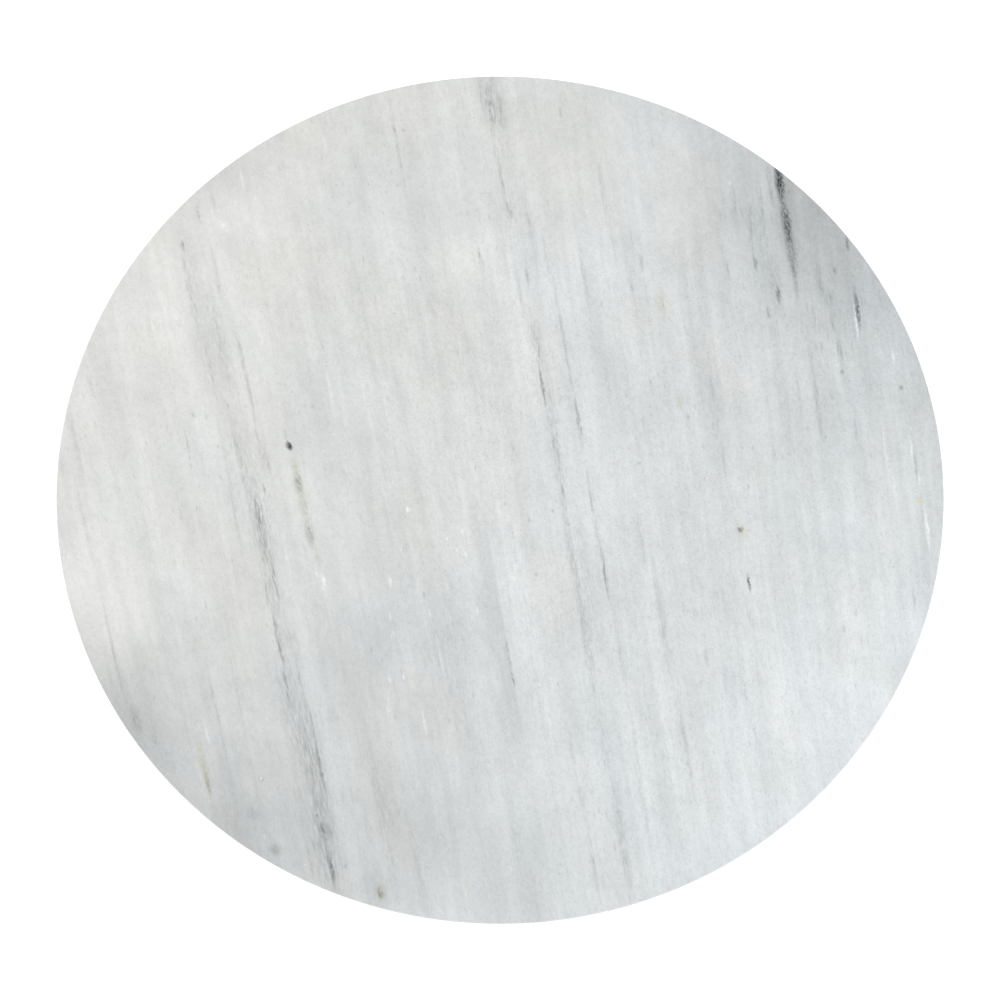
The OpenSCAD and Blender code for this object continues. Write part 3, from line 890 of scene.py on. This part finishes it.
# %% [markdown]
# ## The slab and the base
# Both stones are sawn, honed flat and have their edges eased by hand. They could be turned from a
# section, but then a flat face is a fan of long thin triangles. So each starts as a cylinder, its
# two rims are bevelled, and a thin ring is inset in each face so that the flat face shades flat.
# Blind holes underneath take the threaded inserts. The base is also drilled right through for the
# screws that hold the bearing, and counterbored so that their heads lie inside the stone.

# %% Where the holes are
SCREWS = 6
HALF_STEP = pi / SCREWS
TOP_SCREW_R = 115 * MM
BASE_SCREW_R = 92 * MM
INSERT_R = 3.3 * MM
HOLE_R = 2.25 * MM
BORE_R = 5 * MM
top_places = circle_of(SCREWS, TOP_SCREW_R)
base_places = circle_of(SCREWS, BASE_SCREW_R)
foot_places = circle_of(SCREWS, middle_of("foot_1").xy.length, HALF_STEP)
print("holes on circles of radius", TOP_SCREW_R, "and", BASE_SCREW_R)


# %% Stones
RIM_INSET = 0.6 * MM
SLAB_CORNERS, BASE_CORNERS = 1440, 720


def stone_disc(radius, low, high, eased, corners):
    start_fresh()
    bpy.ops.mesh.primitive_cylinder_add(vertices=corners, radius=radius, depth=high - low,
                                        location=(0, 0, (low + high) / 2))
    disc = bpy.context.object
    bpy.ops.object.transform_apply(location=True)
    for level in (low, high):
        pick(disc, "EDGE", level_with(level))
        bpy.ops.mesh.bevel(offset=eased, segments=5, affect="EDGES")
    for level in (low, high):
        pick(disc, "FACE", level_with(level))
        bpy.ops.mesh.inset(thickness=RIM_INSET)
    start_fresh()
    return disc


slab = stone_disc(SLAB_R, SLAB_LOW, SLAB_TOP, 1.2 * MM, SLAB_CORNERS)
drill(slab, top_places, INSERT_R, SLAB_LOW - PAST, levels_of("top_inserts")[1])
settle(slab, "slab_stone", slab_marble, "turntable", "white_marble", "marble_top")

base = stone_disc(BASE_R, BASE_LOW, BASE_TOP, 1.5 * MM, BASE_CORNERS)
drill(base, base_places, HOLE_R, BASE_LOW - PAST, BASE_TOP + PAST)
drill(base, base_places, BORE_R, BASE_LOW - PAST, levels_of("base_washers")[1], 64)
drill(base, foot_places, INSERT_R, BASE_LOW - PAST, levels_of("foot_inserts")[1])
settle(base, "base_stone", base_marble, "base", "white_marble", "marble_base")

# %% [markdown]
# ## The bearing rings
# Each ring is turned from aluminium: chamfered on all four edges, with a V groove for the balls. It
# could be cut from a tube with other tubes, but a section that is spun round the axis is how a lathe
# makes it, and every size of it stays a number. Then the holes are cut, and a hair's breadth is
# taken off every edge, because that is what catches the light on real metal.

# %% Sizes of the bearing
RACE_R = 103 * MM
BALL_R = 2.5 * MM
CHAMFER = 0.8 * MM
GROOVE_REACH = (BALL_R + 0.03 * MM) * 2 ** 0.5
GROOVE_FLOOR = BALL_R + 0.3 * MM
INNER_LOW, INNER_HIGH = levels_of("inner_ring")
OUTER_LOW, OUTER_HIGH = levels_of("outer_ring")
BALL_Z = (INNER_LOW + OUTER_HIGH) / 2
INNER_R = radius_of("inner_ring")
OUTER_R = radius_of("outer_ring")
INNER_W, OUTER_W = 20 * MM, 22 * MM
RING_STEPS = 360
print(f"race {RACE_R * 2:.3f} m across, balls at {BALL_Z:.4f} m")


# %% The rings' section
def ring_section(race_side, far_side, low, high):
    """A chamfered bar with the V groove in the side that faces the balls."""
    out = 1 if far_side > race_side else -1
    lip = GROOVE_REACH - out * (race_side - RACE_R)
    flat = GROOVE_REACH - GROOVE_FLOOR
    depth = RACE_R + out * GROOVE_FLOOR
    near, far = race_side + out * CHAMFER, far_side - out * CHAMFER
    return [(near, low), (far, low), (far_side, low + CHAMFER), (far_side, high - CHAMFER),
            (far, high), (near, high), (race_side, high - CHAMFER), (race_side, BALL_Z + lip),
            (depth, BALL_Z + flat), (depth, BALL_Z - flat), (race_side, BALL_Z - lip),
            (race_side, low + CHAMFER)]


# %% Rings
TAPPED_R = 2 * MM
SINK_R, SINK_CONE = 4.05 * MM, 1.8 * MM
inner = turned(ring_section(INNER_R, INNER_R - INNER_W, INNER_LOW, INNER_HIGH), RING_STEPS)
drill(inner, base_places, TAPPED_R, INNER_LOW - PAST, INNER_HIGH + PAST)
ease(inner, BROKEN_EDGE)
settle(inner, "inner_bearing_ring", turned_aluminium, "base", "ring_aluminium", "inner_ring")

outer = turned(ring_section(OUTER_R - OUTER_W, OUTER_R, OUTER_LOW, OUTER_HIGH), RING_STEPS)
sink = levels_of("top_screws")[0]
drill(outer, top_places, HOLE_R, OUTER_LOW - PAST, OUTER_HIGH + PAST)
drill(outer, top_places, SINK_R, OUTER_LOW - PAST, sink)
drill(outer, top_places, SINK_R, sink, sink + SINK_CONE, end_radius=HOLE_R)
loading_way = Vector((cos(HALF_STEP), sin(HALF_STEP), 0))
ball_level = Vector((0, 0, BALL_Z))
carve(outer, [rod(BALL_R + 0.25 * MM, loading_way * RACE_R + ball_level,
                  loading_way * (OUTER_R + PAST) + ball_level, 64)])
ease(outer, BROKEN_EDGE)
settle(outer, "outer_bearing_ring", turned_aluminium, "turntable", "ring_aluminium", "outer_ring")

# %% [markdown]
# ## The loading plug
# The balls go in through a hole in the outer ring's rim, and this plug closes it. It is a short pin
# with a screwdriver slot outside. Its inner end carries on the V groove, so a plain flat end would
# leave a gap that the balls knock on, and it is cut with a spun copy of the race instead.

# %% Loading plug
PLUG_R = BALL_R + 0.22 * MM
PLUG_SINK = 0.5 * MM
SLOT = 1 * MM
plug_end = OUTER_R - PLUG_SINK
plug = rod(PLUG_R, loading_way * (OUTER_R - OUTER_W) + ball_level,
           loading_way * plug_end + ball_level, 64)
race = turned([(RACE_R, BALL_Z - GROOVE_REACH),
               (RACE_R + GROOVE_FLOOR, BALL_Z - GROOVE_REACH + GROOVE_FLOOR),
               (RACE_R + GROOVE_FLOOR, BALL_Z + GROOVE_REACH - GROOVE_FLOOR),
               (RACE_R, BALL_Z + GROOVE_REACH), (RACE_R - GROOVE_FLOOR, BALL_Z)], RING_STEPS)
carve(plug, [race])
start_fresh()
bpy.ops.mesh.primitive_cube_add(size=1, location=loading_way * plug_end + ball_level,
                                rotation=(0, 0, HALF_STEP), scale=(2 * SLOT, 3 * PLUG_R, SLOT))
carve(plug, [bpy.context.object])
ease(plug, BROKEN_EDGE)
settle(plug, "slotted_plug", screw_steel, "turntable", "screw_steel", "loading_plug")

# %% [markdown]
# ## The gaskets
# Thin rubber rings keep metal off stone. They could be flat cylinders, but clamped rubber swells a
# little at its free edges, so the section has bowed ends instead of square ones.

# %% Gaskets
GASKET_INSET = 1.5 * MM
GASKET_BOW = 0.18 * MM


def gasket(name, node, inside, places, body):
    low, high = levels_of(node)
    outside = radius_of(node)
    half, middle = (high - low) / 2, (low + high) / 2
    section = []
    for edge, side in ((outside, 1), (inside, -1)):
        rise = [-side * (1 - 2 * i / 6) for i in range(7)]
        section += [(edge - side * GASKET_BOW * t * t, middle + half * t) for t in rise]
    ring = turned(section, 288)
    drill(ring, places, HOLE_R, low - PAST, high + PAST, 32)
    settle(ring, name, gasket_rubber, body, "gasket_rubber", node)


gasket("base_rubber_ring", "base_gasket", INNER_R - INNER_W + GASKET_INSET, base_places, "base")
gasket("slab_rubber_ring", "top_gasket", OUTER_R - OUTER_W + GASKET_INSET, top_places, "turntable")

# %% [markdown]
# ## Balls and cage
# The balls carry the load, and a nylon band with a round pocket for each keeps them from rubbing on
# one another. A ball could start as a globe, but that crowds its faces at the poles. Here it starts
# as a cube, which is subdivided and cast to a sphere, so its faces stay even. The cage is a thin
# spun band, drilled from the side once for each ball.

# %% Balls
BALLS = 48
ball_places = [(x, y, BALL_Z) for x, y in circle_of(BALLS, RACE_R)]
start_fresh()
bpy.ops.mesh.primitive_cube_add(size=2 * BALL_R)
ball = bpy.context.object
bpy.ops.object.mode_set(mode="EDIT")
bpy.ops.mesh.subdivide(number_cuts=7)
bpy.ops.object.mode_set(mode="OBJECT")
apply(ball, "CAST", factor=1, size=BALL_R)
balls = joined(copies(ball, ball_places))
settle(balls, "steel_balls", bearing_steel, "cage", "bearing_steel", "bearing_balls", smooth=60)

# %% Cage
CAGE_HALF = 0.6 * MM
cage_low, cage_high = levels_of("ball_cage")
POCKET_R, POCKET_REACH = BALL_R + 0.15 * MM, 2 * MM
cage = turned([(RACE_R - CAGE_HALF, cage_low), (RACE_R + CAGE_HALF, cage_low),
               (RACE_R + CAGE_HALF, cage_high), (RACE_R - CAGE_HALF, cage_high)], 8 * BALLS)
drills = []
for x, y in circle_of(BALLS, 1):
    out = Vector((x, y, 0))
    drills.append(rod(POCKET_R, out * (RACE_R - POCKET_REACH) + ball_level,
                      out * (RACE_R + POCKET_REACH) + ball_level, 32))
carve(cage, drills)
ease(cage, 0.08 * MM, 1)
settle(cage, "nylon_cage", cage_nylon, "cage", "cage_nylon", "ball_cage")

# %% [markdown]
# ## Screws
# A thread could be a stack of rings or only a bump, but neither looks right where it ends. A real
# thread is one ridge that climbs as it goes round, and the Screw modifier makes exactly that from
# one tooth in profile. The ends are cut flat, the tip is trimmed by a turned envelope, and the head
# is turned and joined on. Last, the hexagonal socket is cut with its countersink and drill point.

# %% Threads
THREAD_R = 2 * MM
PITCH = 0.7 * MM
ROOT_R = THREAD_R - 0.54 * PITCH
print(f"thread: {PITCH / MM:.1f} mm a turn")


def threaded_rod(low, high):
    """One tooth in profile, drawn in sixteenths of the pitch, climbs round the axis. It starts more
    than a turn too low and ends too high, and both ends are then cut off flat."""
    heights = (0, 4, 9, 11, 16)
    radii = (ROOT_R, ROOT_R, THREAD_R, THREAD_R, ROOT_R)
    start = low - 1.3 * PITCH
    thread = outline([(r, start + h * PITCH / 16) for r, h in zip(radii, heights)])
    start_fresh()
    apply(thread, "SCREW", axis="Z", angle=2 * pi, screw_offset=PITCH, steps=24, render_steps=24,
          iterations=int((high - low) / PITCH) + 4)
    take(thread)
    bpy.ops.object.mode_set(mode="EDIT")
    for level, way in ((low, -1), (high, 1)):
        bpy.ops.mesh.select_all(action="SELECT")
        bpy.ops.mesh.remove_doubles(threshold=1e-6)
        bpy.ops.mesh.bisect(plane_co=(0, 0, level), plane_no=(0, 0, way), use_fill=True,
                            clear_outer=True, threshold=1e-7)
    bpy.ops.mesh.select_all(action="SELECT")
    bpy.ops.mesh.normals_make_consistent(inside=False)
    bpy.ops.object.mode_set(mode="OBJECT")
    tip, wide = 0.5 * MM, THREAD_R + PAST
    envelope = turned([(0, low - tip), (wide, low - tip), (wide, high - tip - (wide - THREAD_R)),
                       (0, high - tip + THREAD_R)], 48)
    return carve(thread, [envelope], "INTERSECT")


# %% Heads and sockets
HEAD_R = 3.8 * MM
HEAD_H = 2.2 * MM
HEX_R = 1.25 * MM / cos(pi / 6)
HEX_DEEP = 1.3 * MM
SUNK = 0.3 * MM  # how far the thread starts inside the head that it is joined to


def hex_socket(screw, face):
    for cutter in (rod(HEX_R, (0, 0, face - PAST), (0, 0, face + HEX_DEEP), 6),
                   rod(HEX_R + 0.1 * MM, (0, 0, face - 0.05 * MM), (0, 0, face + 0.3 * MM), 32,
                       HEX_R - 0.25 * MM),
                   rod(1.2 * MM, (0, 0, face + HEX_DEEP - 0.01 * MM),
                       (0, 0, face + HEX_DEEP + 0.35 * MM), 32, 0)):
        carve(screw, [cutter])
    return screw


def button_screw(length):
    """The underside of the head is at height 0, and the thread goes up."""
    dome = (HEAD_R ** 2 + HEAD_H ** 2) / (2 * HEAD_H)
    rim = -90 + 2 * degrees(atan2(HEAD_H, HEAD_R))
    head = turned(arc((0, dome - HEAD_H), dome, -90, rim, 10) + [(0, 0)], 96)
    ease(head, BROKEN_EDGE, 3)
    return hex_socket(carve(threaded_rod(-SUNK, length), [head], "UNION"), -HEAD_H)


def flat_screw(length):
    """The face of the countersunk head is at height 0."""
    neck = THREAD_R + 0.04 * MM
    cone = HEAD_R - neck
    head = turned([(0, 0), (HEAD_R - 0.1 * MM, 0), (HEAD_R - 0.02 * MM, 0.1 * MM), (neck, cone),
                   (0, cone)], 96)
    return hex_socket(carve(threaded_rod(cone - SUNK, length), [head], "UNION"), 0)


def fasteners(model, name, node, places, level, material, body, slot):
    """Stands a copy of the model at each place, each turned its own way, as hands leave them."""
    made = copies(model, [(x, y, level) for x, y in places], [1.1 * i for i in range(len(places))])
    return settle(joined(made), name, material, body, slot, node)


# %% Screws
top_low, top_high = levels_of("top_screws")
fasteners(flat_screw(top_high - top_low), "slab_screws", "top_screws", top_places, top_low,
          screw_steel, "turntable", "screw_steel")
base_low, base_high = levels_of("base_screws")
fasteners(button_screw(base_high - base_low - HEAD_H), "bearing_screws", "base_screws",
          base_places, base_low + HEAD_H, screw_steel, "base", "screw_steel")
foot_low, foot_high = levels_of("foot_screws")
fasteners(button_screw(foot_high - foot_low - HEAD_H), "feet_screws", "foot_screws",
          foot_places, foot_low + HEAD_H, screw_steel, "base", "screw_steel")

# %% [markdown]
# ## Washers and inserts
# A washer is a flat ring with its edges broken. A threaded insert is a brass tube with two grooves
# that fill with glue, and a knurled outside that the glue grips. The knurl could be cut tooth by
# tooth, but it is so fine that every second line of points is pulled in a little instead.

# %% Washers
WASHER_R = 4.5 * MM


def washer(thick):
    ring = turned([(HOLE_R, 0), (WASHER_R, 0), (WASHER_R, thick), (HOLE_R, thick)], 96)
    return ease(ring, 0.1 * MM, 3)


for name, node, places in (("bearing_washers", "base_washers", base_places),
                           ("feet_washers", "foot_washers", foot_places)):
    low, high = levels_of(node)
    fasteners(washer(high - low), name, node, places, low, screw_steel, "base", "screw_steel")


# %% Inserts
KNURLS = 72


def insert(length):
    groove, chamfer = 0.4 * MM, 0.2 * MM
    outside = []
    for share in (1 / 3, 2 / 3):
        middle = share * length
        outside += [(INSERT_R, middle - groove), (INSERT_R - groove, middle),
                    (INSERT_R, middle + groove)]
    tube = turned([(THREAD_R, 0), (INSERT_R - chamfer, 0), (INSERT_R, chamfer), *outside,
                   (INSERT_R, length - chamfer), (INSERT_R - chamfer, length),
                   (THREAD_R, length)], KNURLS)
    take(tube)
    bpy.ops.object.mode_set(mode="EDIT")
    bpy.ops.mesh.select_mode(type="VERT")
    bpy.ops.mesh.select_all(action="DESELECT")
    bpy.ops.object.mode_set(mode="OBJECT")
    for point in tube.data.vertices:
        line = round(atan2(point.co.y, point.co.x) / (2 * pi) * KNURLS)
        point.select = line % 2 == 0 and point.co.xy.length > INSERT_R - 0.01 * MM
    bpy.ops.object.mode_set(mode="EDIT")
    bpy.ops.transform.resize(value=(0.96, 0.96, 1), center_override=(0, 0, 0))
    bpy.ops.object.mode_set(mode="OBJECT")
    return tube


for name, node, places, body in (("slab_inserts", "top_inserts", top_places, "turntable"),
                                 ("base_inserts", "foot_inserts", foot_places, "base")):
    low, high = levels_of(node)
    fasteners(insert(high - low), name, node, places, low, insert_brass, body, "insert_brass")

# %% [markdown]
# ## The feet
# Each foot is moulded rubber: a short cone with a round edge to its tread, two grip grooves, and a
# recess that hides the screw's head. It could be a cone with cuts in it, but all of it is round, so
# one is turned from a single section and copied to its six places.

# %% Feet
FOOT_R0, FOOT_R1, FOOT_ROUND = 9.5 * MM, 11 * MM, 1 * MM
FOOT_WEB = 3.2 * MM
GROOVE_STARTS = (6.2 * MM, 7.5 * MM)
GROOVE_W, GROOVE_DEEP, GROOVE_SLOPE = 0.7 * MM, 0.35 * MM, 0.1 * MM
MOUTH = 0.25 * MM
foot_low, foot_high = levels_of("foot_1")
tread = [(BORE_R + MOUTH, foot_low)]
for start in GROOVE_STARTS:
    tread += [(start, foot_low), (start + GROOVE_SLOPE, foot_low + GROOVE_DEEP),
              (start + GROOVE_W - GROOVE_SLOPE, foot_low + GROOVE_DEEP),
              (start + GROOVE_W, foot_low)]
tread += arc((FOOT_R0 - FOOT_ROUND, foot_low + FOOT_ROUND), FOOT_ROUND, -90, -10, 6)
rubber = turned(tread + [(FOOT_R1 - 0.05 * MM, foot_high - 0.2 * MM),
                         (FOOT_R1 - 0.2 * MM, foot_high), (HOLE_R, foot_high),
                         (HOLE_R, foot_high - FOOT_WEB), (BORE_R, foot_high - FOOT_WEB),
                         (BORE_R, foot_low + MOUTH)], 96)
ease(rubber, 0.08 * MM)
for number, piece in enumerate(copies(rubber, [(x, y, 0) for x, y in foot_places]), start=1):
    settle(piece, f"rubber_foot_{number}", foot_rubber, "base", "foot_rubber", f"foot_{number}")

# %% [markdown]
# ## Floor, light and camera
# Hard lamps would draw highlights on the honed face and hide its faint tones. So there is a white
# sheet, an even white sky and one large softbox overhead. The sheet glows a little, as a lit table
# does, so that the slab's own shadow stays faint, and it is clear from below, so that the feet can
# be looked at too. The camera hangs close over the front half of the slab and leans towards its
# middle, so it sees the whole upper face and none of the wall.

# %% Floor
start_fresh()
bpy.ops.mesh.primitive_plane_add(size=8)
floor = bpy.context.object
floor.name = "floor"
paper = Recipe("white_sheet", Roughness=0.9, Base_Color=(0.92, 0.92, 0.92, 1),
               Emission_Color=(1, 1, 1, 1), Emission_Strength=0.28)
below = paper.node("NewGeometry", output=BACKFACING)
seen = paper.node("MixShader", None, below, Wire(paper, paper.shader.outputs[0]),
                  paper.node("BsdfTransparent"))
paper.feed(paper.tree.nodes["Material Output"].inputs["Surface"], seen)
floor.data.materials.append(paper.material)
print("floor:", floor.name)

# %% Light
scene = bpy.context.scene
scene.view_settings.view_transform = "Standard"
scene.world = bpy.data.worlds.new("sky")
scene.world.use_nodes = True
sky = scene.world.node_tree.nodes["Background"]
sky.inputs["Color"].default_value = (1, 1, 1, 1)
sky.inputs["Strength"].default_value = 1.0


def softbox(name, place, aim, size, power):
    lamp = bpy.data.lights.new(name, "AREA")
    lamp.shape, lamp.size, lamp.energy = "DISK", size, power
    holder = bpy.data.objects.new(name, lamp)
    scene.collection.objects.link(holder)
    holder.location = place
    holder.rotation_euler = (Vector(aim) - Vector(place)).to_track_quat("-Z", "Y").to_euler()
    print(f"{name}: {power} W, {size} m across")


softbox("softbox", (-0.5, -0.3, 1.7), (0, 0, 0), 1.4, 7)

# %% Camera
CAMERA_BACK = 198 * MM
CAMERA_UP = 605 * MM
CAMERA_LEAN = radians(16.52)
lens = bpy.data.cameras.new("camera")
lens.lens, lens.sensor_width = 49.94, 36
lens.clip_start = 0.01
camera = bpy.data.objects.new("camera", lens)
scene.collection.objects.link(camera)
camera.location = (0, -CAMERA_BACK, SLAB_TOP + CAMERA_UP)
camera.rotation_euler = (CAMERA_LEAN, 0, 0)
scene.camera = camera
print(f"camera: {CAMERA_UP:.3f} m over the slab, {lens.lens} mm lens")
